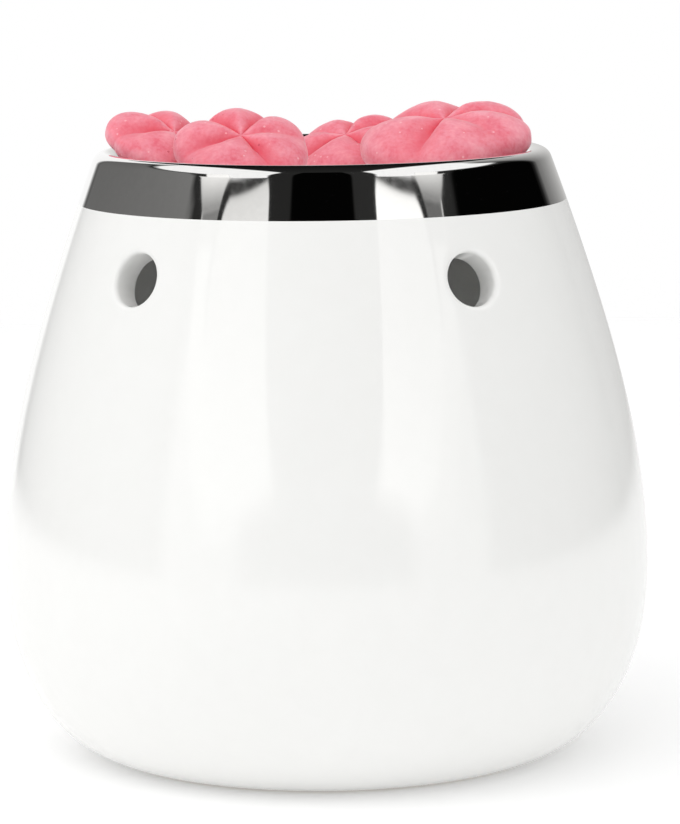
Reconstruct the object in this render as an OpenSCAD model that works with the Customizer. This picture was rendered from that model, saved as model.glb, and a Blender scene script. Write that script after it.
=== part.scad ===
// Wax melt warmer: a glazed ceramic pot with a dish on top for scented wax and a
// tealight inside. Millimetres, +Z up, origin on the surface it stands on, at the
// middle of the foot. The front, with the two vents, faces -Y and the tealight
// goes in through the arch at the back.

/* [Shell outline] */
// Height from the foot to the top of the rim
body_height = 110; // [100:1:130]
// Diameter at the widest place
belly_dia = 118.4; // [112:0.2:140]
// Height of the widest place
belly_height = 34.3; // [30:0.1:42]
// Outer diameter of the flat foot
foot_dia = 74.4; // [68:0.2:84]
// Fullness of the curve from the foot to the belly, 2 is an ellipse
foot_fullness = 2.09; // [1.8:0.01:2.6]
// Diameter that the side reaches at the top of the rim
rim_dia = 82; // [80:0.2:92]
// Share of the side's inward lean that goes with the square of the height
side_lean = 1.68; // [1.4:0.01:1.9]
// Share of the lean that goes with the cube of the height
side_ease = -0.9; // [-1.1:0.01:-0.7]

/* [Walls] */
// Thickness of the shell
shell_wall = 5; // [4:0.1:6]
// Thickness of the lip, which is fully round
lip_thickness = 4.8; // [4:0.1:5.2]
// Thickness of the dish
dish_wall = 4.5; // [3.5:0.1:5.5]
// Depth of the dish below the top of the rim
dish_depth = 10.5; // [9:0.1:12]
// Top of the floor that the tealight stands on
floor_height = 8; // [7:0.1:10]
// Width of the ring that the pot stands on
foot_ring_width = 6; // [4:0.1:8]
// Depth of the recess inside the foot ring
foot_recess = 2; // [1:0.1:3]

/* [Vents] */
// Diameter of a vent
vent_dia = 9.5; // [7:0.1:11]
// Height of a vent's centre on the outside
vent_height = 90.3; // [86:0.1:93]
// Angle of a vent to each side of the front
vent_angle = 38; // [30:0.5:60]
// Radius of the rounded edge of a vent
vent_round = 1.2; // [0.6:0.1:1.6]

/* [Rear arch] */
// Width of the arch that the tealight goes through
arch_width = 46; // [42:0.5:50]
// Height of the arch's crown above the surface the pot stands on
arch_top = 51; // [46:0.5:60]

/* [Silver band] */
// Height of the band down the outside from the top of the rim
band_height = 9.15; // [6:0.05:11]
// Depth that the band reaches down inside the dish
band_inside = 3.2; // [2:0.1:5]
// Thickness of the band as modelled
band_skin = 0.4; // [0.3:0.05:0.6]

/* [Tealight] */
// Outer diameter of the cup
cup_dia = 38; // [36:0.1:40]
// Height of the cup
cup_height = 16; // [12:0.1:19]
// Thickness of the cup's sheet
cup_sheet = 0.3; // [0.2:0.05:0.5]
// Depth of the wax below the cup's edge
wax_below_edge = 2; // [1:0.1:4]
// Diameter of the wick
wick_dia = 1.8; // [1.2:0.1:2.4]
// Length of wick that stands out of the wax
wick_out = 9; // [5:0.5:12]
// Diameter of the wick's metal foot
sustainer_dia = 13; // [10:0.5:16]
// Thickness of the wick's metal foot
sustainer_plate = 0.4; // [0.3:0.05:0.6]
// Height of the collar that grips the wick
sustainer_collar = 4; // [3:0.5:6]

/* [Wax melts] */
// Diameter of the large melt
large_melt_dia = 31.7; // [29:0.1:33]
// Diameter of the three small melts
small_melt_dia = 24.6; // [22:0.1:26]
// Height of a melt's crown, as a share of its diameter
melt_crown = 0.19; // [0.15:0.01:0.21]
// Depth of a melt's underside, as a share of its diameter
melt_belly = 0.14; // [0.1:0.01:0.15]
// Depth of the valleys between petals, as a share of the crown
valley_depth = 0.55; // [0.3:0.05:0.65]
// Depth of the notches in the outline, as a share of the radius
notch_depth = 0.13; // [0.05:0.01:0.18]
// Depth of the dimple where the valleys meet, as a share of the crown
dimple_depth = 0.3; // [0.1:0.05:0.5]

/* [Hidden] */

// Steps along the outline and round the curves
foot_steps = 18;
side_steps = 30;
lip_steps = 12;
dish_steps = 16;
band_steps = 6;
round_fn = 96;
eps = 0.01;

// Radii at the ends of the outline's two curves
belly_r = belly_dia / 2;
foot_r = foot_dia / 2;
rim_r = rim_dia / 2;

// Radius of the outside at a height below the belly
function foot_curve(z) =
    foot_r + (belly_r - foot_r) * pow(1 - pow(1 - z / belly_height, foot_fullness), 1 / foot_fullness);

// Share of the way in from belly to rim, at a share of the way up
function lean(s) = side_lean * pow(s, 2) + side_ease * pow(s, 3) + (1 - side_lean - side_ease) * pow(s, 4);

// Radius of the outside at any height
function outside(z) = z < belly_height
    ? foot_curve(max(z, 0))
    : belly_r - (belly_r - rim_r) * lean((z - belly_height) / (body_height - belly_height));

// Angle by which the outside's normal tilts up, at a height
slope_step = 0.2;
function tilt(z) = atan2(outside(z - slope_step) - outside(z + slope_step), 2 * slope_step);

// Point of the outside at a height, moved in along its normal
function inward(z, depth) = [outside(z) - depth * cos(tilt(z)), z - depth * sin(tilt(z))];

// The lip is half a circle that runs on from the outside at its own tilt
lip_r = lip_thickness / 2;
lip_z = body_height - lip_r;
lip_tilt = tilt(lip_z);
lip_centre = outside(lip_z) - lip_r / cos(lip_tilt);
side_end = lip_z + lip_r * sin(lip_tilt);
function lip_points(depth) = [
    for (i = [0 : lip_steps])
        let (angle = lip_tilt + (180 - lip_tilt) * i / lip_steps)
        [lip_centre + (lip_r - depth) * cos(angle), lip_z + (lip_r - depth) * sin(angle)]
];

// Dish: part of a sphere that starts at the inside of the lip
dish_r = lip_centre - lip_r;
dish_sag = dish_depth - lip_r;
dish_sphere = (pow(dish_r, 2) + pow(dish_sag, 2)) / (2 * dish_sag);
dish_centre_z = lip_z - dish_sag + dish_sphere;
dish_angle = asin(dish_r / dish_sphere);
function dish_point(angle, sphere_r) = [sphere_r * sin(angle), dish_centre_z - sphere_r * cos(angle)];
function dish_height(r) = dish_centre_z - sqrt(pow(dish_sphere, 2) - pow(r, 2));

// The outline's heights lie closer together near the foot, where it turns fast
foot_heights = [for (i = [0 : foot_steps]) belly_height * (1 - cos(90 * i / foot_steps))];
side_heights = [for (i = [1 : side_steps]) belly_height + (side_end - belly_height) * i / side_steps];
outside_heights = concat(foot_heights, side_heights);

// The chamber follows the outside from a height whose inner point lies under the floor
chamber_from = 1;
chamber_heights = [for (z = outside_heights) if (z >= chamber_from) z];

// Silver band: over the lip, from its lower edge outside to its edge in the dish
band_low = body_height - band_height;
band_dish_angle = dish_angle - band_inside / dish_sphere * 180 / PI;
cut_past = 1;
function band_edge(depth) = concat(
    [for (i = [0 : band_steps - 1]) inward(band_low + (side_end - band_low) * i / band_steps, depth)],
    lip_points(depth),
    [for (i = [1 : band_steps])
        dish_point(dish_angle + (band_dish_angle - dish_angle) * i / band_steps, dish_sphere + depth)]
);
function backwards(list) = [for (i = [len(list) - 1 : -1 : 0]) list[i]];

// Vent: where its axis leaves the outside, and how far up it points
vent_tilt = tilt(vent_height);
vent_reach = 2 * shell_wall;
vent_r = vent_dia / 2;

// Tealight, on the floor in the middle of the pot
fit_gap = 0.05;
cup_r = cup_dia / 2;
cup_floor = floor_height + cup_sheet;
wax_top = floor_height + cup_height - wax_below_edge;
wick_r = wick_dia / 2;
collar_r = wick_r + fit_gap + sustainer_plate;
collar_top = cup_floor + sustainer_plate + sustainer_collar;

// A melt has five petals, with a valley at each of these angles, of this strength
valley_angles = [15, 73, 132, 210, 312];
valley_strengths = [0.35, 0.8, 1, 0.85, 1];
petals = len(valley_angles);
petal_steps = 10;
melt_sides = petals * petal_steps;
crown_rings = 7;
belly_rings = 4;

// How deep the groove is at a share of the way from one valley to the next: petals are puffed
petal_puff = 0.55;
function next_angle(i) = i == petals - 1 ? valley_angles[0] + 360 : valley_angles[i + 1];
function strength(i, f) = valley_strengths[i] * (1 - f) + valley_strengths[(i + 1) % petals] * f;
function groove(i, f) = strength(i, f) * (1 - pow(sin(180 * f), petal_puff));
petal_dirs = [
    for (i = [0 : petals - 1], j = [0 : petal_steps - 1])
        let (f = j / petal_steps)
        [valley_angles[i] + (next_angle(i) - valley_angles[i]) * f, groove(i, f)]
];

// The valleys are full from this share of the radius out, and the dimple is this wide
valley_full_from = 0.35;
dimple_size = 0.28;
function dimple(rho) = 1 - dimple_depth * exp(-pow(rho / dimple_size, 2));
function valley(rho, g) = 1 - valley_depth * g * min(1, rho / valley_full_from);

// One ring of a melt of diameter 1, at a latitude. Powers under 1 make its section squarer
edge_square = 0.9;
crown_square = 0.9;
belly_square = 0.6;
function melt_ring(latitude) = [
    for (dir = petal_dirs)
        let (
            rho = pow(cos(latitude), edge_square),
            r = rho * (1 - notch_depth * dir[1]) / 2,
            up = melt_crown * pow(max(sin(latitude), 0), crown_square) * valley(rho, dir[1]) * dimple(rho),
            down = melt_belly * pow(max(-sin(latitude), 0), belly_square)
        )
        [r * cos(dir[0]), r * sin(dir[0]), up - down]
];
melt_latitudes = concat(
    [for (i = [1 : crown_rings]) 90 * (1 - i / crown_rings)],
    [for (i = [1 : belly_rings - 1]) -90 * i / belly_rings]
);
melt_points = concat(
    [[0, 0, melt_crown * dimple(0)]],
    [for (latitude = melt_latitudes) each melt_ring(latitude)],
    [[0, 0, -melt_belly]]
);
ring_count = len(melt_latitudes);
last_point = ring_count * melt_sides + 1;
function on_ring(ring, side) = 1 + ring * melt_sides + side % melt_sides;
melt_faces = concat(
    [for (j = [0 : melt_sides - 1]) [0, on_ring(0, j + 1), on_ring(0, j)]],
    [for (i = [0 : ring_count - 2], j = [0 : melt_sides - 1], half = [0, 1])
        half == 0
            ? [on_ring(i, j), on_ring(i, j + 1), on_ring(i + 1, j)]
            : [on_ring(i, j + 1), on_ring(i + 1, j + 1), on_ring(i + 1, j)]],
    [for (j = [0 : melt_sides - 1])
        [on_ring(ring_count - 1, j), on_ring(ring_count - 1, j + 1), last_point]]
);

module section(points) {
    rotate_extrude($fn = round_fn) polygon(points);
}

module shell_solid() {
    section(concat(
        [[0, 0]],
        [for (z = outside_heights) [outside(z), z]],
        lip_points(0),
        [for (i = [1 : dish_steps]) dish_point(dish_angle * (1 - i / dish_steps), dish_sphere)]
    ));
}

module chamber() {
    difference() {
        section(concat(
            [[0, inward(chamber_heights[0], shell_wall)[1]]],
            [for (z = chamber_heights) inward(z, shell_wall)],
            [[0, inward(side_end, shell_wall)[1]]]
        ));
        translate([0, 0, floor_height - body_height])
            cylinder(r = belly_r, h = body_height, $fn = round_fn);
        translate([0, 0, dish_centre_z]) sphere(r = dish_sphere + dish_wall, $fn = round_fn);
    }
}

// Ring of space just over and under the silver, which the band fills flush
module band_seat() {
    section(concat(band_edge(-cut_past), backwards(band_edge(band_skin))));
}

// A vent's bore with the rounded edge that it has outside
module vent_cut() {
    translate([0, 0, -vent_reach]) cylinder(r = vent_r, h = 2 * vent_reach, $fn = round_fn);
    rotate_extrude($fn = round_fn) difference() {
        translate([0, -vent_round]) square([vent_r + vent_round, 2 * vent_round]);
        translate([vent_r + vent_round, -vent_round]) circle(r = vent_round, $fn = round_fn);
    }
}

module arch_cut() {
    half = arch_width / 2;
    rotate([90, 0, 180]) linear_extrude(belly_dia) {
        translate([0, arch_top - half]) circle(r = half, $fn = round_fn);
        translate([-half, floor_height]) square([arch_width, arch_top - half - floor_height]);
    }
}

module ceramic_body() {
    color("ghostwhite") difference() {
        shell_solid();
        chamber();
        band_seat();
        arch_cut();
        translate([0, 0, -foot_recess])
            cylinder(r = foot_r - foot_ring_width, h = 2 * foot_recess, $fn = round_fn);
        for (side = [-1, 1])
            rotate([0, 0, side * vent_angle - 90])
                translate([outside(vent_height), 0, vent_height])
                    rotate([0, 90 - vent_tilt, 0])
                        vent_cut();
    }
}

module silver_band() {
    color("silver") section(concat(band_edge(0), backwards(band_edge(band_skin))));
}

module tealight_cup() {
    color("gainsboro") translate([0, 0, floor_height]) difference() {
        cylinder(r = cup_r, h = cup_height, $fn = round_fn);
        translate([0, 0, cup_sheet]) cylinder(r = cup_r - cup_sheet, h = cup_height, $fn = round_fn);
    }
}

module tealight_wax() {
    pocket_r = sustainer_dia / 2 + fit_gap;
    color("ivory") difference() {
        translate([0, 0, cup_floor])
            cylinder(r = cup_r - cup_sheet - fit_gap, h = wax_top - cup_floor, $fn = round_fn);
        translate([0, 0, cup_floor - eps])
            cylinder(r = pocket_r, h = sustainer_plate + fit_gap + eps, $fn = round_fn);
        cylinder(r = collar_r + fit_gap, h = collar_top + fit_gap, $fn = round_fn);
        cylinder(r = wick_r + fit_gap, h = body_height, $fn = round_fn);
    }
}

module wick_sustainer() {
    color("silver") difference() {
        union() {
            translate([0, 0, cup_floor])
                cylinder(r = sustainer_dia / 2, h = sustainer_plate, $fn = round_fn);
            translate([0, 0, cup_floor])
                cylinder(r = collar_r, h = collar_top - cup_floor, $fn = round_fn);
        }
        translate([0, 0, cup_floor + sustainer_plate])
            cylinder(r = wick_r + fit_gap, h = body_height, $fn = round_fn);
    }
}

module wick() {
    bottom = cup_floor + sustainer_plate;
    color("linen") translate([0, 0, bottom])
        cylinder(r = wick_r, h = wax_top + wick_out - bottom, $fn = round_fn);
}

// A melt whose middle lies over the dish at a share of its radius, raised by a share of the
// melt's own size, with its face leaning towards an azimuth
module wax_melt(dia, at, rise, lean_to, lean_by, turn, flip = false) {
    place = [at[0] * dish_r, at[1] * dish_r];
    color("hotpink")
        translate([place[0], place[1], dish_height(norm(place)) + rise * dia])
            rotate([0, 0, lean_to])
                rotate([0, lean_by, 0])
                    rotate([0, 0, turn - lean_to])
                        mirror([flip ? 1 : 0, 0, 0])
                            scale(dia) polyhedron(melt_points, melt_faces, convexity = 4);
}

module wax_melt_left() {
    wax_melt(small_melt_dia, [-0.756, 0.044], 0.252, -40, 23.6, 0);
}

module wax_melt_front_left() {
    wax_melt(small_melt_dia, [-0.368, -0.283], 0.378, -79, 26.6, -1);
}

module wax_melt_middle() {
    wax_melt(small_melt_dia, [0.081, 0.626], 0.214, -122.3, 20.2, -23.1, flip = true);
}

module wax_melt_right() {
    wax_melt(large_melt_dia, [0.604, 0.145], 0.269, -109.9, 12.4, -61.1);
}

ceramic_body();
silver_band();
tealight_cup();
tealight_wax();
wick_sustainer();
wick();
wax_melt_left();
wax_melt_front_left();
wax_melt_middle();
wax_melt_right();
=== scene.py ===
"""Wax melt warmer: a white glazed pot with a silver rim, pink wax melts in its dish and a tealight inside.

The pieces' sizes are in millimetres until a mesh is made, and the studio's in metres. Z is up, and the front
is towards -Y.
"""
import math

import bmesh
import bpy
import numpy as np
from mathutils import Matrix, Vector


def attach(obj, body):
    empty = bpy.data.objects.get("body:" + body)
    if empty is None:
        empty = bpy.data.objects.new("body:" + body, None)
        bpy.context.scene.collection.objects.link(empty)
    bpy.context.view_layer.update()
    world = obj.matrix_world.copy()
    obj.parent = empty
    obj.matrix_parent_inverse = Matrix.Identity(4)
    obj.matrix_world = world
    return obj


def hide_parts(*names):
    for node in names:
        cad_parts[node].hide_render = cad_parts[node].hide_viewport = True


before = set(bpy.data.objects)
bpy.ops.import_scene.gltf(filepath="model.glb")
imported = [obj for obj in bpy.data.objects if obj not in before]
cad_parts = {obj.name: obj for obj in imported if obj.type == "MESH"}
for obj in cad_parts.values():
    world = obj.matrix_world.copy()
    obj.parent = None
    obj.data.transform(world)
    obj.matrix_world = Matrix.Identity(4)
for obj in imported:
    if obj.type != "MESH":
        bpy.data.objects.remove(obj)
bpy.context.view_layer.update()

# The viewpoint. A long lens stands a little right of the front and looks slightly down,
# from the distance at which the rim and the foot show their real ellipses.
view_azimuth = math.radians(5.3)
view_elevation = math.radians(8.63)
view_distance = 0.7036
view_target = Vector((0.0, 0.0, 0.055))
view_roll = math.radians(-0.675)

camera_data = bpy.data.cameras.new("viewpoint")
camera_data.sensor_width = 36.0
camera_data.lens = 167.4
camera_data.shift_x = 0.0179
camera_data.shift_y = 0.0438
camera = bpy.data.objects.new("viewpoint", camera_data)
bpy.context.scene.collection.objects.link(camera)
towards_camera = Vector((
    math.sin(view_azimuth) * math.cos(view_elevation),
    -math.cos(view_azimuth) * math.cos(view_elevation),
    math.sin(view_elevation),
))
camera.matrix_world = (
    Matrix.Translation(view_target + view_distance * towards_camera)
    @ Matrix.Rotation(view_azimuth, 4, "Z")
    @ Matrix.Rotation(math.pi / 2 - view_elevation, 4, "X")
    @ Matrix.Rotation(view_roll, 4, "Z")
)
bpy.context.scene.camera = camera
bpy.context.scene.view_settings.view_transform = "Standard"


# The studio. The world is an even, slightly dim dome for light, and plain white for the
# camera and for reflections, so the picture's background is white.
dome_level = 0.86
white_level = 1.0


def new_tree(owner):
    """Empty node tree of a material or world, with functions that add a node and join two sockets. A node's
    settings are its sockets' names, with _ for a space, or its own properties."""
    owner.use_nodes = True
    tree = owner.node_tree
    tree.nodes.clear()

    def add(kind, **settings):
        node = tree.nodes.new(kind)
        for key, value in settings.items():
            socket = key.replace("_", " ")
            if socket in node.inputs:
                node.inputs[socket].default_value = value
            else:
                setattr(node, key, value)
        return node

    return add, tree.links.new


def seen_not_lit(add, join):
    """1 for a camera, glossy or transmission ray, and 0 for the rays that carry light."""
    path = add("ShaderNodeLightPath")
    first = add("ShaderNodeMath", operation="MAXIMUM")
    both = add("ShaderNodeMath", operation="MAXIMUM")
    join(path.outputs["Is Camera Ray"], first.inputs[0])
    join(path.outputs["Is Glossy Ray"], first.inputs[1])
    join(first.outputs[0], both.inputs[0])
    join(path.outputs["Is Transmission Ray"], both.inputs[1])
    return both.outputs[0]


world = bpy.data.worlds.new("studio_dome")
bpy.context.scene.world = world
add, join = new_tree(world)
dome_light = add("ShaderNodeBackground", Color=(1.0, 1.0, 1.0, 1.0), Strength=dome_level)
dome_seen = add("ShaderNodeBackground", Color=(1.0, 1.0, 1.0, 1.0), Strength=white_level)
dome_mix = add("ShaderNodeMixShader")
dome_out = add("ShaderNodeOutputWorld")
join(seen_not_lit(add, join), dome_mix.inputs[0])
join(dome_light.outputs[0], dome_mix.inputs[1])
join(dome_seen.outputs[0], dome_mix.inputs[2])
join(dome_mix.outputs[0], dome_out.inputs[0])


def soft_lamp(name, azimuth, elevation, distance, size, power):
    """Square area lamp aimed at the pot, at an elevation, and an azimuth from the front that is positive to
    the right."""
    lamp = bpy.data.lights.new(name, "AREA")
    lamp.shape = "SQUARE"
    lamp.size = size
    lamp.energy = power
    holder = bpy.data.objects.new(name, lamp)
    turn, rise = math.radians(azimuth), math.radians(elevation)
    away = Vector((math.sin(turn) * math.cos(rise), -math.cos(turn) * math.cos(rise), math.sin(rise)))
    holder.location = view_target + distance * away
    holder.rotation_mode = "QUATERNION"
    holder.rotation_quaternion = away.to_track_quat("Z", "Y")
    holder.visible_glossy = False
    bpy.context.scene.collection.objects.link(holder)


soft_lamp("key_lamp", azimuth=-70, elevation=42, distance=1.3, size=0.9, power=2.1)
soft_lamp("top_lamp", azimuth=-20, elevation=66, distance=1.3, size=0.9, power=2.6)


# The floor. A round pale sheet, lit faintly from below, whose rim fades out so that it
# meets the white background with no line.
floor_radius = 0.9
floor_tone = 0.86
table_glow = 0.2
fade_from, fade_to = 0.35, 0.95


def disc_floor(radius, rings=24, sides=96):
    """Flat disc in rings. Each ring's radius is the square of its share of the way out, times the radius."""
    share = (np.arange(1, rings + 1) / rings) ** 2
    turn = np.arange(sides) / sides * 2 * np.pi
    x = (radius * share[:, None] * np.cos(turn)).ravel()
    y = (radius * share[:, None] * np.sin(turn)).ravel()
    points = np.vstack([[0.0, 0.0, 0.0], np.stack([x, y, np.zeros_like(x)], -1)])
    ring = 1 + np.arange(rings * sides).reshape(rings, sides)
    following = np.roll(ring, -1, 1)
    middle = np.stack([np.zeros(sides, int), ring[0], following[0]], -1)
    bands = np.stack([ring[:-1], ring[1:], following[1:], following[:-1]], -1).reshape(-1, 4)
    return points, middle.tolist() + bands.tolist()


def pale_sheet():
    """White matte sheet that glows faintly, as a light table does, and is see-through towards its rim."""
    material = bpy.data.materials.new("pale_sheet")
    add, join = new_tree(material)
    place = add("ShaderNodeTexCoord")
    length = add("ShaderNodeVectorMath", operation="LENGTH")
    fade = add("ShaderNodeMapRange", interpolation_type="SMOOTHSTEP", To_Min=1.0, To_Max=0.0,
               From_Min=fade_from * floor_radius, From_Max=fade_to * floor_radius)
    shader = add("ShaderNodeBsdfPrincipled", Roughness=0.9, Base_Color=(*[floor_tone] * 3, 1.0),
                 Emission_Color=(1.0, 1.0, 1.0, 1.0), Emission_Strength=table_glow)
    out = add("ShaderNodeOutputMaterial")
    join(place.outputs["Object"], length.inputs[0])
    join(length.outputs["Value"], fade.inputs["Value"])
    join(fade.outputs["Result"], shader.inputs["Alpha"])
    join(shader.outputs[0], out.inputs[0])
    return material


floor_mesh = bpy.data.meshes.new("floor")
floor_points, floor_faces = disc_floor(floor_radius)
floor_mesh.from_pydata(floor_points.tolist(), [], floor_faces)
floor_mesh.materials.append(pale_sheet())
floor = bpy.data.objects.new("floor", floor_mesh)
bpy.context.scene.collection.objects.link(floor)


# What the silver and the glaze mirror. Each side has a soft box in a thin dark frame and a paler strip
# beside it. Between them is a dark gap that goes on overhead, and further round are a grey panel on the
# left and a black one on the right, both with dark borders. Only reflections see them.
card_margin = 0.12  # how far a card's mesh goes past its corners, as a share of its span
flat_span = 40.0  # degrees that a flat card counts as wide and high
coarse_steps, fine_steps = 41, 141
dark, black = 0.025, 0.001


def lit_card():
    """Light of a sheet's own level where its cover is 1, and clear where it is 0."""
    material = bpy.data.materials.new("lit_card")
    add, join = new_tree(material)
    level = add("ShaderNodeAttribute", attribute_name="level")
    cover = add("ShaderNodeAttribute", attribute_name="cover")
    light = add("ShaderNodeEmission", Color=(1.0, 0.995, 0.98, 1.0))
    clear = add("ShaderNodeBsdfTransparent")
    mix = add("ShaderNodeMixShader")
    out = add("ShaderNodeOutputMaterial")
    join(level.outputs["Fac"], light.inputs["Strength"])
    join(cover.outputs["Fac"], mix.inputs[0])
    join(clear.outputs[0], mix.inputs[1])
    join(light.outputs[0], mix.inputs[2])
    join(mix.outputs[0], out.inputs[0])
    return material


card_light = lit_card()


def heading(azimuth, elevation):
    """Unit vector from the pot, at an azimuth to the right of the viewpoint and an elevation in degrees."""
    turn, rise = np.radians(azimuth) + view_azimuth, np.radians(elevation)
    return np.stack([np.sin(turn) * np.cos(rise), -np.cos(turn) * np.cos(rise), np.sin(rise)], -1)


def card(name, distance, corners, levels, rounding, soft, flat=False, steps=coarse_steps):
    """Sheet of light at a distance. Corners are (azimuth, elevation) in degrees, in the order lower left,
    lower right, upper right, upper left, and levels are its brightness there. Both are blended bilinearly,
    and the corners as points in space if it is flat. Its cover is a box with rounded corners, alike or with
    a rounding for either side, which softens over so many degrees sideways and at the bottom."""
    run = np.linspace(-card_margin, 1 + card_margin, steps)
    u, v = np.meshgrid(run, run)
    weights = [(1 - u) * (1 - v), u * (1 - v), u * v, (1 - u) * v]
    corners = np.array(corners, float)
    if flat:
        points = sum(w[..., None] * heading(*c) for w, c in zip(weights, corners))
    else:
        angles = sum(w[..., None] * c for w, c in zip(weights, corners))
        points = heading(angles[..., 0], angles[..., 1])
    points = distance * points + np.array([0.0, 0.0, view_target.z])
    level = sum(w * value for w, value in zip(weights, levels))
    wide = np.abs(corners[1] + corners[2] - corners[0] - corners[3])[0] / 2
    high = np.abs(corners[2] + corners[3] - corners[0] - corners[1])[1] / 2
    if flat:
        wide = high = flat_span
    rounding = np.where(u < 0.5, *np.broadcast_to(rounding, 2))
    past_x = np.abs(u - 0.5) * wide - wide / 2 + rounding
    past_y = np.abs(v - 0.5) * high - high / 2 + rounding
    past_corner = np.hypot(np.maximum(past_x, 0), np.maximum(past_y, 0))
    inside = rounding - past_corner - np.minimum(np.maximum(past_x, past_y), 0)
    fade = soft[0] + (soft[1] - soft[0]) * (1 - 2 * v).clip(0, 1)
    cover = (0.5 + inside / fade).clip(0, 1)
    cover = cover * cover * (3 - 2 * cover)
    at = np.arange(steps**2).reshape(steps, steps)
    faces = np.stack([at[:-1, :-1], at[:-1, 1:], at[1:, 1:], at[1:, :-1]], -1).reshape(-1, 4)
    mesh = bpy.data.meshes.new(name)
    mesh.from_pydata(points.reshape(-1, 3).tolist(), [], faces.tolist())
    for key, numbers in (("level", level), ("cover", cover)):
        layer = mesh.attributes.new(key, "FLOAT", "POINT")
        layer.data.foreach_set("value", numbers.ravel().clip(0).astype(np.float32))
    mesh.materials.append(card_light)
    sheet = bpy.data.objects.new(name, mesh)
    bpy.context.scene.collection.objects.link(sheet)
    sheet.visible_camera = False
    sheet.visible_diffuse = False
    sheet.visible_shadow = False
    sheet.visible_transmission = False


def on_side(sense, corners):
    """Corners as given, to the right, for a sense of 1, and mirrored to the left for -1."""
    return [(sense * azimuth, elevation) for azimuth, elevation in corners]


# Side, sense, the box's level low and high, the strip's low, the shade's low and high, and the foot's rise
sides = (
    ("left", -1, 1.9, 0.78, 1.8, 0.24, 1.05, 0.0),
    ("right", 1, 2.4, 1.12, 1.5, 0.15, 0.95, 0.4),
)
for side, sense, box_low, box_high, strip_low, shade_low, shade_high, rise in sides:
    box = on_side(sense, [(36, 5), (18.5, 10.5), (27.7, 35.2), (55.5, 30.9)])
    box_frame = on_side(sense, [(47.5, 19), (21, 19), (26.2, 36.1), (56.4, 31.8)])
    shade = on_side(sense, [(61.0, 29.2 + rise), (48, 31.7 + rise), (48, 33.5), (67.0, 30.5)])
    foot = on_side(sense, [(59.8, 27.6), (48, 30.0), (48, 31.8 + rise), (61.2, 29.3 + rise)])
    strip = on_side(sense, [(44, 4), (35.4, 4), (52.4, 38), (64.6, 34)])
    card("soft_box_" + side, 1.60, box, [box_low, box_low, box_high, box_high],
         rounding=(7.0, 1.2), soft=(0.3, 7.0), steps=fine_steps)
    card("soft_box_frame_" + side, 1.603, box_frame, [dark] * 4,
         rounding=(7.3, 1.5), soft=(0.3, 2.5), steps=fine_steps)
    card("strip_shade_" + side, 1.605, shade, [shade_low, shade_low, shade_high, shade_high],
         rounding=0.2, soft=(0.4, 0.4))
    card("strip_foot_" + side, 1.607, foot, [shade_low] * 4, rounding=0.2, soft=(0.4, 0.4))
    card("pale_strip_" + side, 1.61, strip, [strip_low, strip_low, 1.0, 1.0], rounding=1.0, soft=(0.8, 9.0))
card("front_gap", 1.66, [(-28.5, -5), (28.5, -5), (28.5, 70), (-28.5, 70)], [black] * 4,
     rounding=1.0, soft=(0.8, 9.0))
card("front_gap_left", 1.64, [(-30, 0), (-19, 0), (-13, 70), (-28, 70)], [0.02] * 4,
     rounding=1.0, soft=(1.5, 6.0))
card("front_gap_right", 1.64, [(19, 0), (28.5, 0), (28, 70), (13, 70)], [dark] * 4,
     rounding=1.0, soft=(1.5, 6.0))
card("overhead_gap", 1.67, [(-27, 58), (27, 58), (168, 22), (-168, 22)], [0.02, 0.02, black, black],
     rounding=1.0, soft=(0.6, 1.0), flat=True)
card("grey_panel", 1.64, [(-149, -8), (-65.6, -8), (-65.6, 31.5), (-149, 44)], [0.155, 0.165, 0.2, 0.12],
     rounding=12.0, soft=(1.5, 6.0))
card("grey_border", 1.66, [(-152, -8), (-58.5, -8), (-58.5, 33.5), (-152, 48)], [dark] * 4,
     rounding=4.0, soft=(2.0, 6.0))
card("black_panel", 1.64, [(66, -8), (131, -8), (131, 36), (66, 32)], [black] * 4,
     rounding=12.0, soft=(3.0, 6.0))
card("black_border", 1.66, [(58, -8), (134, -8), (134, 42), (58, 33.5)], [dark] * 4,
     rounding=4.0, soft=(3.0, 6.0))
card("far_right", 1.68, [(126, -25), (184, -25), (184, 50), (126, 50)], [0.05, 0.8, 0.8, 0.05],
     rounding=3.0, soft=(3.0, 12.0))


# The pot: shell, floor and dish are one slip-cast stoneware piece, glazed white all over
# but for the ring that it stands on. It is cast in a mould, so shell and dish never part.
body_height, belly_radius, belly_height = 110.0, 59.2, 34.3
foot_radius, rim_radius = 37.2, 41.0
foot_fullness, side_lean, side_ease = 2.09, 1.68, -0.9
shell_wall, dish_wall, dish_depth, floor_height = 5.0, 4.5, 10.5, 8.0
foot_ring_width, foot_recess, foot_round = 6.0, 2.0, 0.6
lip_radius = 2.4
band_low, band_inside, band_skin = 100.85, 3.2, 0.4
vent_radius, vent_height, vent_angle, vent_round = 4.75, 90.3, 38.0, 1.2
arch_half, arch_top, arch_round = 23.0, 51.0, 1.3
around_steps, fine_rows = 240, 4000
vent_window, vent_turns = (82.0, 98.5), (18, 33)
vent_tries, vent_ease = 30, 0.8
arch_first_row, arch_window_top, arch_turns = 5, 57.0, (98, 142)


def outside(z):
    """Radius of the outside at height z. Below the belly it is a superellipse, foot + (belly - foot) times
    (1 - (1 - z / belly height)^n)^(1/n). Above it, it is belly - (belly - rim) times
    a s^2 + b s^3 + (1 - a - b) s^4, with s the share of the way up from belly to rim."""
    z = np.asarray(z, float)
    s = (z - belly_height) / (body_height - belly_height)
    upper = belly_radius - (belly_radius - rim_radius) * (
        side_lean * s**2 + side_ease * s**3 + (1 - side_lean - side_ease) * s**4)
    t = np.clip(1 - z / belly_height, 0, 1)
    lower = foot_radius + (belly_radius - foot_radius) * (1 - t**foot_fullness) ** (1 / foot_fullness)
    return np.where(z < belly_height, lower, upper)


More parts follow.
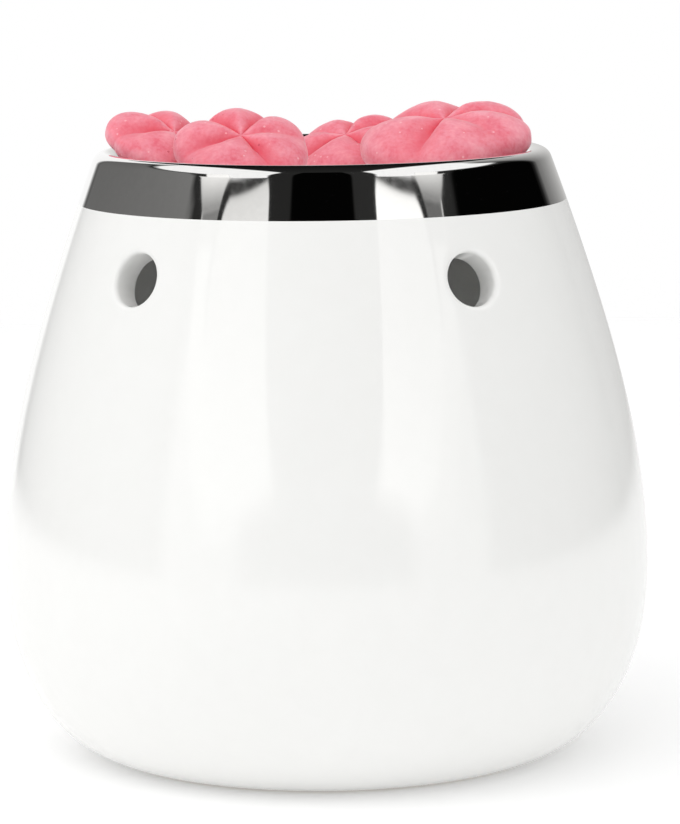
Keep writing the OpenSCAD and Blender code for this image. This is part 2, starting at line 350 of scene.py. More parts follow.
def tilt(z):
    """Angle by which the outside's normal points up at height z, from its slope over 0.4 mm."""
    z = np.asarray(z, float)
    return np.arctan2(outside(np.maximum(z - 0.2, 0)) - outside(z + 0.2), 0.4)


def inward(z, depth):
    """Radius and height of the outside's point at height z, moved in along its normal by a depth."""
    return np.stack([outside(z) - depth * np.cos(tilt(z)), z - depth * np.sin(tilt(z))], -1)


lip_height = body_height - lip_radius
lip_tilt = float(tilt(lip_height))
lip_centre = float(outside(lip_height)) - lip_radius / math.cos(lip_tilt)
side_end = lip_height + lip_radius * math.sin(lip_tilt)
dish_radius = lip_centre - lip_radius
dish_sag = dish_depth - lip_radius
dish_sphere = (dish_radius**2 + dish_sag**2) / (2 * dish_sag)
dish_middle = lip_height - dish_sag + dish_sphere
dish_edge = math.asin(dish_radius / dish_sphere)


def on_dish(angle, depth=0.0):
    """Radius and height on the dish's sphere, at an angle from its lowest point, moved into the wall."""
    reach = dish_sphere + depth
    return np.stack([reach * np.sin(angle), dish_middle - reach * np.cos(angle)], -1)


def on_lip(share, depth=0.0):
    """Radius and height on the lip's half circle, from its outside at share 0 to its inside at share 1."""
    angle = lip_tilt + (math.pi - lip_tilt) * np.asarray(share, float)
    reach = lip_radius - depth
    return np.stack([lip_centre + reach * np.cos(angle), lip_height + reach * np.sin(angle)], -1)


def turned(profile, turns):
    """Surface of revolution. Point (r, z) of the profile at turn t is (r sin t, -r cos t, z), and t is 0 at
    the front."""
    r, z = profile[:, None, 0], profile[:, None, 1]
    return np.stack([r * np.sin(turns), -r * np.cos(turns), z + 0 * turns], -1)


def strips(index):
    """Four-sided faces between neighbouring rows of an index grid that closes round on itself."""
    following = np.roll(index, -1, 1)
    return np.stack([index[:-1], following[:-1], following[1:], index[1:]], -1)


def make_piece(name, points, faces, material, smooth_angle=35.0, values=None):
    """Mesh object at the origin from points in millimetres and four-sided faces. Points that no face uses
    are left out and doubles are merged, so that poles close. Edges sharper than the smooth angle stay sharp,
    and values become point attributes."""
    mesh = bpy.data.meshes.new(name)
    used, corners = np.unique(faces, return_inverse=True)
    mesh.from_pydata((points[used] * 0.001).tolist(), [], corners.reshape(-1, 4).tolist())
    for key, numbers in (values or {}).items():
        layer = mesh.attributes.new(key, "FLOAT", "POINT")
        layer.data.foreach_set("value", numbers[used].astype(np.float32))
    piece = bpy.data.objects.new(name, mesh)
    bpy.context.scene.collection.objects.link(piece)
    form = bmesh.new()
    form.from_mesh(mesh)
    bmesh.ops.remove_doubles(form, verts=form.verts, dist=2e-6)
    form.to_mesh(mesh)
    form.free()
    mesh.polygons.foreach_set("use_smooth", np.ones(len(mesh.polygons), bool))
    mesh.set_sharp_from_angle(angle=math.radians(smooth_angle))
    mesh.materials.append(material)
    mesh.validate()
    return piece


turns = np.arange(around_steps) / around_steps * 2 * np.pi
foot_rows = belly_height * (1 - np.cos(np.linspace(0, np.pi / 2, 25)))
side_rows = np.linspace(belly_height, band_low, 75)[1:]
rows = np.concatenate([foot_rows, side_rows])

# The outside's rows whose inner points lie at the floor, and where the wall meets the dish's underside
fine = np.linspace(0.2, lip_height, fine_rows)
fine_inner = inward(fine, shell_wall)
floor_row = float(np.interp(floor_height, fine_inner[:, 1], fine))
floor_edge = float(inward(floor_row, shell_wall)[0])
under_gap = np.hypot(fine_inner[:, 0], fine_inner[:, 1] - dish_middle) - (dish_sphere + dish_wall)
under_row = float(fine[(fine > belly_height) & (under_gap > 0)][-1])
under_edge = math.asin(float(inward(under_row, shell_wall)[0]) / (dish_sphere + dish_wall))


def wall_inside(row):
    """Radius and height of the chamber's surface at a row. Above the floor's row it is on the wall, and below
    it on the flat floor, as far in from the floor's edge as the row lies under the floor's."""
    row = np.asarray(row, float)
    wall = inward(np.maximum(row, floor_row), shell_wall)
    level = np.stack([floor_edge + row - floor_row, np.full_like(row, floor_height)], -1)
    return np.where((row < floor_row)[..., None], level, wall)


def on_shell(turn, row, inner):
    """Points of the shell's outer or inner surface at turns and rows."""
    profile = wall_inside(row) if inner else np.stack([outside(row), row], -1)
    r, z = profile[..., 0], profile[..., 1]
    return np.stack([r * np.sin(turn), -r * np.cos(turn), z], -1)


def shell_place(points, inner):
    """Turn and row of points on the shell, the reverse of on_shell for points that lie on the wall."""
    turn = np.arctan2(points[:, 0], -points[:, 1]) % (2 * np.pi)
    if not inner:
        return turn, points[:, 2]
    usable = fine >= floor_row
    return turn, np.interp(points[:, 2], fine_inner[usable, 1], fine[usable])


floor_rows = floor_row - np.array([floor_edge, 38.0, 30.0, 20.0, 10.0, 5.0, 3.0, 1.5])
inner_rows = np.concatenate([floor_rows, [floor_row], rows[rows > floor_row + 0.1]])
inner_rows = np.append(inner_rows[inner_rows < under_row - 0.3], under_row)

# Outer skin from the middle of the foot recess to the middle of the dish, and inner skin from floor to dish
ring_inner = foot_radius - foot_ring_width
corner = np.linspace(0, np.pi / 2, 5)
recess_radii = np.array([0.0, ring_inner * 0.5, ring_inner - 0.8, ring_inner])
foot_profile = np.vstack([
    np.stack([recess_radii, np.full_like(recess_radii, foot_recess)], -1),
    np.stack([ring_inner + foot_round * (1 - np.cos(corner)), foot_round * (1 - np.sin(corner))], -1),
    [[foot_radius - 2.0, 0.0], [foot_radius - 0.8, 0.0]],
])
band_dish_edge = dish_edge - band_inside / dish_sphere
seat_profile = np.vstack([
    inward(np.linspace(band_low, side_end, 8), band_skin),
    on_lip(np.linspace(0, 1, 17)[1:], band_skin),
    on_dish(np.linspace(dish_edge, band_dish_edge, 5)[1:], band_skin),
])
dish_profile = on_dish(np.linspace(band_dish_edge, 0, 26))
outer_profile = np.vstack([foot_profile, np.stack([outside(rows), rows], -1), seat_profile, dish_profile])
inner_profile = np.vstack([wall_inside(inner_rows), on_dish(np.linspace(under_edge, 0, 20), dish_wall)[1:]])
outer_points = turned(outer_profile, turns).reshape(-1, 3)
inner_points = turned(inner_profile, turns).reshape(-1, 3)
outer_grid = np.arange(len(outer_points)).reshape(-1, around_steps)
inner_grid = len(outer_points) + np.arange(len(inner_points)).reshape(-1, around_steps)
row_start = len(foot_profile)


def window_rim(grid, low_row, high_row, low_turn, high_turn):
    """Indices round a rectangle of the grid, from its lower left corner and anticlockwise from outside."""
    across = np.arange(low_turn, high_turn + 1) % around_steps
    up = np.arange(low_row, high_row + 1)
    return np.concatenate([grid[low_row, across[:-1]], grid[up[:-1], across[-1]],
                           grid[high_row, across[:0:-1]], grid[up[:0:-1], across[0]]])


def vent_outline(side, radius, inner, count, start):
    """Points where a cylinder of a radius about a vent's axis meets the shell. For each angle round the axis,
    the depth along it is stepped until the point's distance from the surface is nil."""
    turn, lean = side * math.radians(vent_angle), float(tilt(vent_height))
    out = np.array([math.sin(turn) * math.cos(lean), -math.cos(turn) * math.cos(lean), math.sin(lean)])
    across = np.array([math.cos(turn), math.sin(turn), 0.0])
    up = np.cross(out, across)
    middle = np.array([math.sin(turn), -math.cos(turn), 0.0]) * float(outside(vent_height))
    middle[2] = vent_height
    angle = start + np.arange(count) / count * 2 * np.pi
    ring = middle + radius * (np.cos(angle)[:, None] * across + np.sin(angle)[:, None] * up)
    depth = np.full(count, shell_wall if inner else 0.0)
    for _ in range(vent_tries):
        at = ring - depth[:, None] * out
        row = shell_place(at, inner)[1]
        surface = np.hypot(at[:, 0], at[:, 1])
        target = (wall_inside(row) if inner else np.stack([outside(row), row], -1))[:, 0]
        depth += (surface - target) * vent_ease
    return ring - depth[:, None] * out


def arch_outline(grow, inner, count, corners):
    """Points of the arch's outline on the shell. Between its two lower corners it is straight, and above them
    it goes up, over a half circle and down again in equal steps. Grown, it lies that much further out."""
    first, last = corners
    half, spring = arch_half + grow, arch_top - arch_half
    low = floor_height - grow
    sill = count - last + first
    straight = spring - low
    length = 2 * straight + math.pi * half
    along = np.linspace(0, length, last - first + 1)
    angle = np.clip((along - straight) / half, 0, math.pi)
    x = half * np.cos(angle)
    z = np.where(along > length - straight, low + length - along, spring + half * np.sin(angle))
    z = np.where(along < straight, low + along, z)
    sill_x = np.linspace(-half, half, sill + 1)
    x = np.concatenate([x, sill_x[1:-1]])
    z = np.concatenate([z, np.full(sill - 1, low)])
    x, z = np.roll(x, first), np.roll(z, first)
    row = np.interp(z, fine_inner[:, 1], fine) if inner else z
    radius = wall_inside(np.maximum(row, floor_row))[:, 0] if inner else outside(row)
    return np.stack([-x, np.sqrt(radius**2 - x**2), z], -1)


def tunnel(rim_out, rim_in, wide, edge, edge_in, into, rounding, rings=6):
    """Chain of loops from a window's rim in the outer skin to the one in the inner skin. It goes over the
    outer surface to the wide loop, round the edge on a quadratic curve, through the wall, and over the inner
    surface. Loops on a surface are blended in turn and row, so that they stay on it."""
    chain = []
    for inner, rim, loop in ((False, rim_out, wide), (True, rim_in, edge_in)):
        turn_rim, row_rim = rim
        turn_loop, row_loop = shell_place(loop, inner)
        turn_loop = turn_rim + (turn_loop - turn_rim + np.pi) % (2 * np.pi) - np.pi
        if inner:
            row_loop = np.where(loop[:, 2] <= floor_height + 1e-6, floor_row, row_loop)
        share = np.linspace(0, 1, rings + 1)[1:, None] ** 0.9
        turn = turn_rim + (turn_loop - turn_rim) * share
        row = row_rim + (row_loop - row_rim) * share
        surface = on_shell(turn, row, inner)
        surface[-1] = loop
        chain.append(surface[::-1] if inner else surface)
    bend = np.linspace(0, 1, 7)[1:, None, None]
    rounded = (1 - bend) ** 2 * wide + 2 * bend * (1 - bend) * edge + bend**2 * (edge + rounding * into)
    through = np.linspace(0, 1, 5)[1:-1, None, None]
    inside_wall = rounded[-1] + (edge_in - rounded[-1]) * through
    return np.concatenate([chain[0], rounded, inside_wall, chain[1]])


towards_front = np.array([0.0, -1.0, 0.0])
all_points = [outer_points, inner_points]
all_faces = []
outer_open = np.ones((outer_grid.shape[0] - 1, around_steps), bool)
inner_open = np.ones((inner_grid.shape[0] - 1, around_steps), bool)
next_index = len(outer_points) + len(inner_points)

vent_rows = np.searchsorted(rows, vent_window)
arch_rows = (arch_first_row, np.searchsorted(rows, arch_window_top))
shared_row = vent_rows[0]
inner_shift = np.searchsorted(inner_rows, rows[shared_row]) - shared_row
openings = (
    ("vent", -1, vent_rows, (around_steps - vent_turns[1], around_steps - vent_turns[0])),
    ("vent", 1, vent_rows, vent_turns),
    ("arch", 0, arch_rows, arch_turns),
)
for kind, side, (low, high), (turn_low, turn_high) in openings:
    count = 2 * (high - low + turn_high - turn_low)
    rim_out = window_rim(outer_grid, row_start + low, row_start + high, turn_low, turn_high)
    rim_in = window_rim(inner_grid, low + inner_shift, high + inner_shift, turn_low, turn_high)
    across = np.arange(turn_low, turn_high)
    outer_open[row_start + low:row_start + high, across] = False
    inner_open[low + inner_shift:high + inner_shift, across] = False
    if kind == "vent":
        start = math.atan2(low - high, turn_low - turn_high)
        wide = vent_outline(side, vent_radius + vent_round, False, count, start)
        edge = vent_outline(side, vent_radius, False, count, start)
        edge_in = vent_outline(side, vent_radius, True, count, start)
        into = (edge_in - edge) / np.linalg.norm(edge_in - edge, axis=1, keepdims=True)
        rounding = vent_round
    else:
        # The sill takes the window's low row and two steps of either side
        corners = (turn_high - turn_low + 2, count - 2)
        wide = arch_outline(arch_round, False, count, corners)
        edge = arch_outline(0.0, False, count, corners)
        edge_in = arch_outline(0.0, True, count, corners)
        into = towards_front
        rounding = arch_round
    rim_places = []
    for rim, skin, skin_rows in ((rim_out, outer_grid[row_start:], rows), (rim_in, inner_grid, inner_rows)):
        at_row, at_turn = np.divmod(rim - skin[0, 0], around_steps)
        rim_places.append((turns[at_turn], skin_rows[at_row]))
    loops = tunnel(*rim_places, wide, edge, edge_in, into, rounding)
    grid = next_index + np.arange(loops.shape[0] * count).reshape(loops.shape[0], count)
    next_index += grid.size
    all_points.append(loops.reshape(-1, 3))
    chain = np.vstack([rim_out[None], grid, rim_in[None]])
    all_faces.append(strips(chain).reshape(-1, 4))
all_faces.append(strips(outer_grid)[outer_open].reshape(-1, 4))
all_faces.append(strips(inner_grid)[inner_open].reshape(-1, 4)[:, ::-1])


def mottle_group():
    """Node group of cloudy variation in two sizes of noise, as a mask from 0 to 1 and a height for bumps."""
    group = bpy.data.node_groups.new("mottle", "ShaderNodeTree")
    group.interface.new_socket("Vector", in_out="INPUT", socket_type="NodeSocketVector")
    for name in ("Cloud Scale", "Grain Scale"):
        group.interface.new_socket(name, in_out="INPUT", socket_type="NodeSocketFloat")
    for name in ("Mask", "Height"):
        group.interface.new_socket(name, in_out="OUTPUT", socket_type="NodeSocketFloat")
    nodes, join = group.nodes, group.links.new
    given, made = nodes.new("NodeGroupInput"), nodes.new("NodeGroupOutput")
    cloud, grain = nodes.new("ShaderNodeTexNoise"), nodes.new("ShaderNodeTexNoise")
    cloud.inputs["Detail"].default_value = 3.0
    grain.inputs["Detail"].default_value = 4.0
    spread, blend = nodes.new("ShaderNodeMapRange"), nodes.new("ShaderNodeMix")
    spread.inputs["From Min"].default_value = 0.3
    spread.inputs["From Max"].default_value = 0.7
    blend.inputs["Factor"].default_value = 0.4
    join(given.outputs["Vector"], cloud.inputs["Vector"])
    join(given.outputs["Vector"], grain.inputs["Vector"])
    join(given.outputs["Cloud Scale"], cloud.inputs["Scale"])
    join(given.outputs["Grain Scale"], grain.inputs["Scale"])
    join(cloud.outputs["Fac"], blend.inputs["A"])
    join(grain.outputs["Fac"], blend.inputs["B"])
    join(blend.outputs["Result"], spread.inputs["Value"])
    join(spread.outputs["Result"], made.inputs["Mask"])
    join(grain.outputs["Fac"], made.inputs["Height"])
    return group


mottle = mottle_group()


def place_mottle(add, join, cloud_scale, grain_scale):
    """The mottle group on the piece's own Object coordinates, and the node that gives these."""
    place = add("ShaderNodeTexCoord")
    clouds = add("ShaderNodeGroup", node_tree=mottle, Cloud_Scale=cloud_scale, Grain_Scale=grain_scale)
    join(place.outputs["Object"], clouds.inputs["Vector"])
    return place, clouds


def two_tone(add, join, mask, deep, pale):
    """Colour between a deep and a pale tone by a mask."""
    mix = add("ShaderNodeMix", data_type="RGBA")
    mix.inputs["A"].default_value = (*deep, 1.0)
    mix.inputs["B"].default_value = (*pale, 1.0)
    join(mask, mix.inputs["Factor"])
    return mix.outputs["Result"]


def ranged(add, join, mask, low, high):
    """Value between a low and a high one by a mask."""
    spread = add("ShaderNodeMapRange", To_Min=low, To_Max=high)
    join(mask, spread.inputs["Value"])
    return spread.outputs["Result"]


def bumped(add, join, height, strength, distance):
    """Normal of a faint relief of a height."""
    bump = add("ShaderNodeBump", Strength=strength, Distance=distance)
    join(height, bump.inputs["Height"])
    return bump.outputs["Normal"]


def join_surface(add, join, shader, **sources):
    """What changes over the surface joined to the shader's sockets, and the shader to the output."""
    for socket, source in sources.items():
        join(source, shader.inputs[socket.replace("_", " ")])
    join(shader.outputs[0], add("ShaderNodeOutputMaterial").inputs[0])


def white_glaze():
    """Glossy white glaze with faint clouds and ripples, and bare, matte clay on the ring under the foot."""
    material = bpy.data.materials.new("white_glaze")
    add, join = new_tree(material)
    place, clouds = place_mottle(add, join, 28.0, 260.0)
    glaze = two_tone(add, join, clouds.outputs["Mask"], (0.885, 0.885, 0.868), (0.905, 0.905, 0.89))
    clay = two_tone(add, join, clouds.outputs["Mask"], (0.66, 0.61, 0.53), (0.76, 0.72, 0.65))
    axes = add("ShaderNodeSeparateXYZ")
    join(place.outputs["Object"], axes.inputs[0])
    bare = add("ShaderNodeMapRange", interpolation_type="SMOOTHSTEP", To_Min=1.0, To_Max=0.0,
               From_Min=0.0002, From_Max=0.0005)
    join(axes.outputs["Z"], bare.inputs["Value"])
    colour = add("ShaderNodeMix", data_type="RGBA")
    join(bare.outputs["Result"], colour.inputs["Factor"])
    join(glaze, colour.inputs["A"])
    join(clay, colour.inputs["B"])
    shader = add("ShaderNodeBsdfPrincipled", IOR=1.52)
    join_surface(add, join, shader, Base_Color=colour.outputs["Result"],
                 Roughness=ranged(add, join, bare.outputs["Result"], 0.045, 0.75),
                 Normal=bumped(add, join, clouds.outputs["Height"], 0.012, 0.0002))
    return material


pot = make_piece("glazed_pot", np.vstack(all_points), np.vstack(all_faces), white_glaze())
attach(pot, "pot")
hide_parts("ceramic_body")


# The silver band: a mirror lustre brushed onto the fired glaze and fired again, so it follows
# the rim with no step. It is modelled as a thin skin let into the rim, flush with the glaze.
def band_profile(depth):
    """Radius and height along the band at a depth: up the outside, over the lip and down into the dish."""
    return np.vstack([
        inward(np.linspace(band_low, side_end, 16), depth),
        on_lip(np.linspace(0, 1, 33)[1:], depth),
        on_dish(np.linspace(dish_edge, band_dish_edge, 8)[1:], depth),
    ])


def silver_lustre():
    """Mirror-bright silver with faint clouds in its polish."""
    material = bpy.data.materials.new("silver_lustre")
    add, join = new_tree(material)
    _, clouds = place_mottle(add, join, 60.0, 900.0)
    colour = two_tone(add, join, clouds.outputs["Mask"], (0.86, 0.855, 0.845), (0.93, 0.925, 0.915))
    shader = add("ShaderNodeBsdfPrincipled", Metallic=1.0)
    join_surface(add, join, shader, Base_Color=colour,
                 Roughness=ranged(add, join, clouds.outputs["Mask"], 0.02, 0.05))
    return material


band_section = np.vstack([band_profile(0.0), band_profile(band_skin)[::-1]])
band_points = turned(band_section, turns)
band_grid = np.arange(band_points.shape[0] * around_steps).reshape(-1, around_steps)
band_faces = strips(np.vstack([band_grid, band_grid[:1]])).reshape(-1, 4)
band = make_piece("lustre_band", band_points.reshape(-1, 3), band_faces, silver_lustre())
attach(band, "pot")
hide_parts("silver_band")


# The wax melts: scented wax cast in a blossom mould. Each has five puffed petals with valleys
# between them that meet in a dimple, and lies loose in the dish against the rim or its neighbour.
valley_angles = np.array([15.0, 73.0, 132.0, 210.0, 312.0])
valley_strengths = np.array([0.35, 0.8, 1.0, 0.85, 1.0])
melt_crown, melt_belly, valley_depth, notch_depth = 0.19, 0.14, 0.68, 0.15
dimple_depth, dimple_size, valley_full_from, petal_puff, valley_round = 0.3, 0.28, 0.35, 0.55, 0.1


def petal_groove(angle):
    """Groove between petals at an angle in degrees: 1 - (sin(pi f)^2 + w^2)^(p/2), with f the share of the
    way from one valley to the next, w the valleys' rounding and p the puff, times the strength of the
    valleys, blended across the petal."""
    first = valley_angles[0]
    onward = np.where(angle < first, angle + 360, angle)
    which = np.searchsorted(valley_angles, onward, side="right") - 1
    widths = np.diff(valley_angles, append=first + 360)
    f = (onward - valley_angles[which]) / widths[which]
    strength = valley_strengths[which] * (1 - f) + np.roll(valley_strengths, -1)[which] * f
    rise = np.sqrt(np.sin(np.pi * f) ** 2 + valley_round**2)
    return strength * (1 - rise**petal_puff)


def ripple(points, seed, size):
    """Smooth unevenness: the mean of eight sine waves in chance directions, with wavelengths about a size."""
    chance = np.random.default_rng(seed)
    waves = chance.normal(size=(8, 3))
    length = np.linalg.norm(waves, axis=1, keepdims=True)
    waves *= (2 * np.pi / size) / length * chance.uniform(0.6, 1.5, (8, 1))
    return np.sin(points @ waves.T + chance.uniform(0, 2 * np.pi, 8)).mean(-1)


def melt_surface(diameter, seed):
    """Blossom of petals on a grid of latitude and angle, and the painted shade of each point, which is more
    the deeper it lies in a valley on top. At share rho of the radius the crown is crown * sin(latitude)^0.9,
    less the valley and the dimple, and the underside is belly * sin(latitude)^0.6. The notch cuts the radius
    in where the groove runs out."""
    latitude = np.radians(np.concatenate([np.linspace(90, 0, 61), np.linspace(0, -90, 25)[1:]]))
    angle = np.arange(240) * 1.5
    groove = petal_groove(angle)[None]
    rho = np.cos(latitude)[:, None].clip(0) ** 0.9
    height = np.sin(latitude)[:, None]
    dip = 1 - dimple_depth * np.exp(-(rho / dimple_size) ** 2)
    valley = 1 - valley_depth * groove * np.minimum(1, rho / valley_full_from)
    up = melt_crown * height.clip(0, 1) ** 0.9 * valley * dip
    down = melt_belly * (-height).clip(0, 1) ** 0.6
    radius = rho * (1 - notch_depth * groove) / 2
    turn = np.radians(angle)
    points = diameter * np.stack([radius * np.cos(turn), radius * np.sin(turn), (up - down) + 0 * turn], -1)
    # Painted shade for the pink wax: strongest deep in the valleys on top, where their own shade would fall
    valley_shade = 1.3 * groove.clip(0, 1) ** 0.7 * height.clip(0, 1) ** 0.5 * (1 - 0.3 * rho)
    push = 0.22 * ripple(points, seed, 9.0) + 0.07 * ripple(points, seed + 1, 2.6) - 0.05
    points[..., 2] += push * height.clip(0, 1) ** 0.5
    return points, valley_shade + 0 * turn


def pink_wax():
    """Matt pink wax that lets a little light in, with paler clouds, painted shade that darkens the valleys,
    and here and there a dark speck of dye or a pale bubble."""
    material = bpy.data.materials.new("pink_wax")
    add, join = new_tree(material)
    place, clouds = place_mottle(add, join, 320.0, 1500.0)
    base = two_tone(add, join, clouds.outputs["Mask"], (0.83, 0.14, 0.205), (0.965, 0.41, 0.48))
    # Painted shade: a darker red mixed in along the valleys, where their shade falls
    valley_shade = add("ShaderNodeAttribute", attribute_name="valley_shade")
    deep = add("ShaderNodeMix", data_type="RGBA")
    deep.inputs["B"].default_value = (0.83, 0.085, 0.135, 1.0)
    join(valley_shade.outputs["Fac"], deep.inputs["Factor"])
    join(base, deep.inputs["A"])
    colour = deep.outputs["Result"]
    specks = ((520.0, 0.13, 0.88, (0.6, 0.04, 0.09)), (760.0, 0.16, 0.84, (1.0, 0.6, 0.64)))
    for scale, size, share, tone in specks:
        cells = add("ShaderNodeTexVoronoi", Scale=scale)
        join(place.outputs["Object"], cells.inputs["Vector"])
        near = add("ShaderNodeMath", operation="LESS_THAN")
        near.inputs[1].default_value = size
        join(cells.outputs["Distance"], near.inputs[0])
        parts = add("ShaderNodeSeparateColor")
        join(cells.outputs["Color"], parts.inputs[0])
        chosen = add("ShaderNodeMath", operation="GREATER_THAN")
        chosen.inputs[1].default_value = share
        join(parts.outputs[0], chosen.inputs[0])
        spot = add("ShaderNodeMath", operation="MULTIPLY")
        join(near.outputs[0], spot.inputs[0])
        join(chosen.outputs[0], spot.inputs[1])
        faint = add("ShaderNodeMath", operation="MULTIPLY")
        faint.inputs[1].default_value = 0.6
        join(spot.outputs[0], faint.inputs[0])
        speck = add("ShaderNodeMix", data_type="RGBA")
        speck.inputs["B"].default_value = (*tone, 1.0)
        join(faint.outputs[0], speck.inputs["Factor"])
        join(colour, speck.inputs["A"])
        colour = speck.outputs["Result"]
    shader = add("ShaderNodeBsdfPrincipled", IOR=1.44,
                 Sheen_Weight=0.35, Sheen_Roughness=0.4, Sheen_Tint=(1.0, 0.86, 0.9, 1.0),
                 Subsurface_Weight=0.35, Subsurface_Radius=(1.0, 0.35, 0.3), Subsurface_Scale=0.0022)
    join_surface(add, join, shader, Base_Color=colour,
                 Roughness=ranged(add, join, clouds.outputs["Mask"], 0.5, 0.68),
                 Normal=bumped(add, join, clouds.outputs["Height"], 0.25, 0.0002))
    return material


def spin(axis, degrees):
    """3 by 3 rotation about Y or Z."""
    return np.array(Matrix.Rotation(math.radians(degrees), 3, axis))


def make_closed(name, points, material, flipped=False, smooth_angle=35.0, values=None):
    """Piece whose points lie on a grid that closes round on itself, from pole to pole."""
    grid = np.arange(points.shape[0] * points.shape[1]).reshape(points.shape[:2])
    faces = strips(grid).reshape(-1, 4)
    if flipped:
        faces = faces[:, ::-1]
    return make_piece(name, points.reshape(-1, 3), faces, material, smooth_angle, values)


melt_wax = pink_wax()

# Node, body, diameter, place in shares of the dish's radius, height over the dish in shares of the diameter,
# where its face leans to and by how much, its turn, and whether it is mirrored
melts = (
    ("wax_melt_left", "melt_left", 24.6, (-0.756, 0.044), 0.252, -40, 23.6, 0, False),
    ("wax_melt_front_left", "melt_front_left", 24.6, (-0.368, -0.283), 0.378, -79, 26.6, -1, False),
    ("wax_melt_middle", "melt_middle", 24.6, (0.081, 0.626), 0.214, -122.3, 20.2, -23.1, True),
    ("wax_melt_right", "melt_right", 31.7, (0.604, 0.145), 0.269, -109.9, 12.4, -61.1, False),
)
for number, (node, body, diameter, at, rise, lean_to, lean_by, turn, mirrored) in enumerate(melts):
    points, valley_shade = melt_surface(diameter, seed=10 * number + 3)
    sense = spin("Z", lean_to) @ spin("Y", lean_by) @ spin("Z", turn - lean_to)
    if mirrored:
        sense = sense @ np.diag([-1.0, 1.0, 1.0])
    x, y = at[0] * dish_radius, at[1] * dish_radius
    z = dish_middle - math.sqrt(dish_sphere**2 - x * x - y * y) + rise * diameter
    points = points @ sense.T + np.array([x, y, z])
    piece = make_closed(node + "_blossom", points, melt_wax, flipped=not mirrored,
                        smooth_angle=60.0, values={"valley_shade": valley_shade.ravel()})
    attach(piece, body)
    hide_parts(node)


# The tealight's cup: thin aluminium sheet, drawn and pressed to a stepped base and a rolled edge.
# It only stands on the floor of the pot, and comes out through the arch with all it holds.
cup_steps, cup_ripples, cup_ripple = 160, 40, 0.0022


def pressed_cup():
    """Closed cup section turned about Z. The wall leans out slightly, with a stepped base and a rolled edge,
    and its radius ripples by a twentieth of a millimetre where the sheet was drawn."""
    roll = np.linspace(-0.5 * np.pi, 1.25 * np.pi, 12)
    outer = np.array([
        [0.0, 0.0], [6.0, 0.0], [6.5, 0.35], [12.0, 0.35], [12.5, 0.0], [17.4, 0.0],
        [18.0, 0.25], [18.25, 0.8], [18.3, 4.0], [18.38, 8.0], [18.45, 12.0], [18.5, 14.9],
    ])
    edge = np.stack([18.55 + 0.42 * np.cos(roll), 15.5 + 0.42 * np.sin(roll)], -1)
    inner = np.array([
        [18.15, 14.9], [18.1, 12.0], [18.0, 8.0], [17.95, 4.0], [17.9, 1.2], [17.4, 0.65],
        [12.6, 0.4], [12.0, 0.7], [6.4, 0.7], [6.0, 0.4], [0.0, 0.4],
    ])
    section = np.vstack([outer, edge, inner])
    angles = np.arange(cup_steps) / cup_steps * 2 * np.pi
    points = turned(section + np.array([0.0, floor_height]), angles)
    r, z = section.T
    wall = (z > 1.0) & (z < 14.0) & (r > 15.0)
    points[..., :2] *= (1 + cup_ripple * wall[:, None] * np.sin(cup_ripples * angles))[..., None]
    return points


def drawn_sheet(name):
    """Bright sheet metal with fine upright drawing marks."""
    material = bpy.data.materials.new(name)
    add, join = new_tree(material)
    place, clouds = place_mottle(add, join, 120.0, 2500.0)
    stretch = add("ShaderNodeMapping", Scale=(1.0, 1.0, 0.03))
    join(place.outputs["Object"], stretch.inputs["Vector"])
    marks = add("ShaderNodeTexNoise", Scale=3000.0)
    join(stretch.outputs[0], marks.inputs["Vector"])
    colour = two_tone(add, join, clouds.outputs["Mask"], (0.78, 0.78, 0.79), (0.88, 0.88, 0.89))
    shader = add("ShaderNodeBsdfPrincipled", Metallic=1.0)
    join_surface(add, join, shader, Base_Color=colour,
                 Roughness=ranged(add, join, marks.outputs["Fac"], 0.2, 0.38),
                 Normal=bumped(add, join, marks.outputs["Fac"], 0.15, 0.0001))
    return material


cup = make_closed("tealight_pressed_cup", pressed_cup(), drawn_sheet("drawn_aluminium"))
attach(cup, "tealight")
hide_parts("tealight_cup")


# The tealight's wax: white paraffin poured into the cup round the wick, where it set. Its top
# dips as it cools, and creeps up the cup and the wick.
wax_level, wax_steps = 14.0, 120
wax_foot, wax_radius, wax_top_radius = 0.85, 17.2, 17.85
wick_hole, wick_hole_foot = 0.96, 4.9


def poured_wax():
    """Wax turned about Z. Its top dips towards the wick, climbs the wick a little and creeps up the cup, each
    as an exponential of the distance, and a ripple makes it uneven."""
    near_wick, near_cup = [wick_hole, 1.4, 2.0, 3.0], [wax_radius, 17.6, wax_top_radius]
    r = np.concatenate([near_wick, np.linspace(4.5, 16.5, 14), near_cup])
    dip = 0.35 + 0.35 * np.exp(-((r - 6) / 5.0) ** 2)
    climb = 0.7 * np.exp(-(r - wick_hole) / 0.5) + 0.5 * np.exp(-(wax_top_radius - r) / 0.35)
    top = np.stack([r, wax_level - dip + climb], -1)[::-1]
    side = [[0.0, wax_foot], [wax_radius, wax_foot], [17.7, 1.3], [17.8, 8.0]]
    section = np.vstack([side, top, [[wick_hole, wick_hole_foot], [0.0, wick_hole_foot]]])
    angles = np.arange(wax_steps) / wax_steps * 2 * np.pi
    points = turned(section + np.array([0.0, floor_height]), angles)
    raised = (section[:, 1] > wax_level - 2.0)[:, None]
    points[..., 2] += raised * 0.08 * ripple(points, 51, 11.0)
    return points


def candle_wax():
    """White paraffin wax: faintly cloudy, a little see-through, satin on top."""
    material = bpy.data.materials.new("candle_wax")
    add, join = new_tree(material)
    _, clouds = place_mottle(add, join, 150.0, 900.0)
    colour = two_tone(add, join, clouds.outputs["Mask"], (0.84, 0.82, 0.76), (0.92, 0.905, 0.86))
    shader = add("ShaderNodeBsdfPrincipled", IOR=1.44, Roughness=0.42,
                 Subsurface_Weight=0.3, Subsurface_Radius=(1.0, 0.9, 0.75), Subsurface_Scale=0.002)
    join_surface(add, join, shader, Base_Color=colour,
                 Normal=bumped(add, join, clouds.outputs["Height"], 0.12, 0.0002))
    return material


wax = make_closed("tealight_poured_wax", poured_wax(), candle_wax())
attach(wax, "tealight")
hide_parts("tealight_wax")


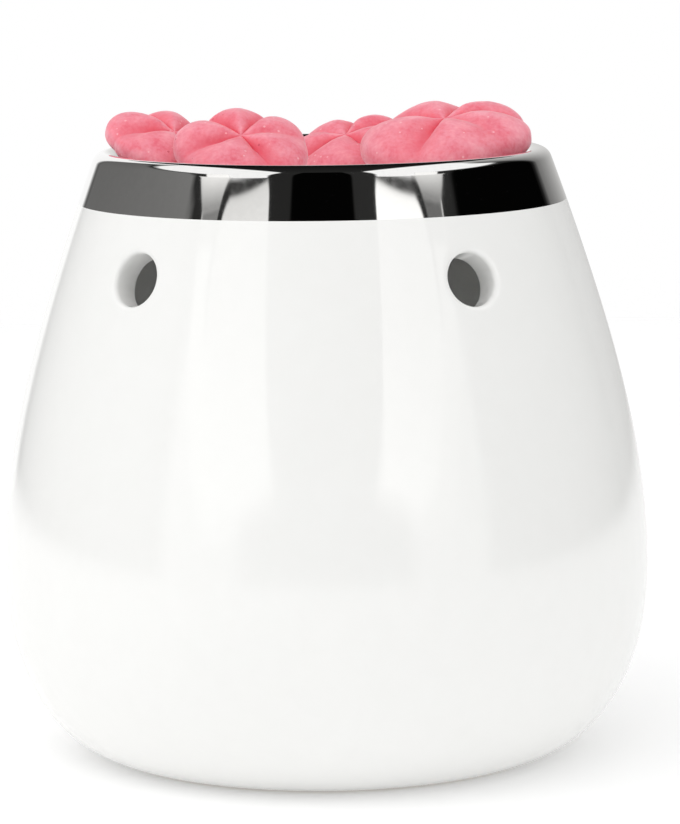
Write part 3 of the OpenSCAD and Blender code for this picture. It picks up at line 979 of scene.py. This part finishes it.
# The wick: three strands of cotton braided and stiffened with wax. Its foot is pinched in the
# sustainer's collar, and its end stands out of the poured wax.
wick_foot, wick_length, wick_steps = 0.75, 22.2, 30
wick_radius, wick_swell, strand_turns = 0.74, 0.12, 22.3 / 2.4


def braided_wick():
    """Tube round a slightly bowed line. Its radius swells where three strands cross: the sine of three times
    the angle plus and minus a climb, so the ridges run both ways as in a braid."""
    height = np.linspace(0, 1, 90)[:, None]
    angle = np.arange(wick_steps)[None] / wick_steps * 2 * np.pi
    climb = height * strand_turns * 2 * np.pi
    swell = np.maximum(np.sin(3 * angle + climb), np.sin(3 * angle - climb))
    radius = (wick_radius + wick_swell * swell) * np.where(height > 0.985, 0.6, 1.0)
    bow = 2.1 * (height - 0.6).clip(0) ** 2
    x = radius * np.cos(angle) + bow
    y = radius * np.sin(angle)
    z = floor_height + wick_foot + height * wick_length + 0 * angle
    middle = np.stack([bow[:, 0], 0 * bow[:, 0], z[:, 0]], -1)[:, None]
    ends = np.repeat(middle[[0, -1]], wick_steps, 1)
    return np.concatenate([ends[:1], np.stack([x, y, z], -1), ends[1:]])


def waxed_cotton():
    """Off-white cotton yarn, stiff with wax."""
    material = bpy.data.materials.new("waxed_cotton")
    add, join = new_tree(material)
    _, fibres = place_mottle(add, join, 900.0, 6000.0)
    colour = two_tone(add, join, fibres.outputs["Mask"], (0.74, 0.70, 0.60), (0.90, 0.87, 0.79))
    shader = add("ShaderNodeBsdfPrincipled", IOR=1.45, Roughness=0.75)
    join_surface(add, join, shader, Base_Color=colour,
                 Normal=bumped(add, join, fibres.outputs["Height"], 0.5, 0.0001))
    return material


wick = make_closed("tealight_braided_wick", braided_wick(), waxed_cotton())
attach(wick, "tealight")
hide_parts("wick")


# The wick's sustainer: a small disc and collar pressed from tinned sheet, which holds the wick
# upright in the wax. It is the CAD node as it is, and only takes its metal here.
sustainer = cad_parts["wick_sustainer"]
sustainer.data.materials.clear()
sustainer.data.materials.append(drawn_sheet("tinned_sheet"))
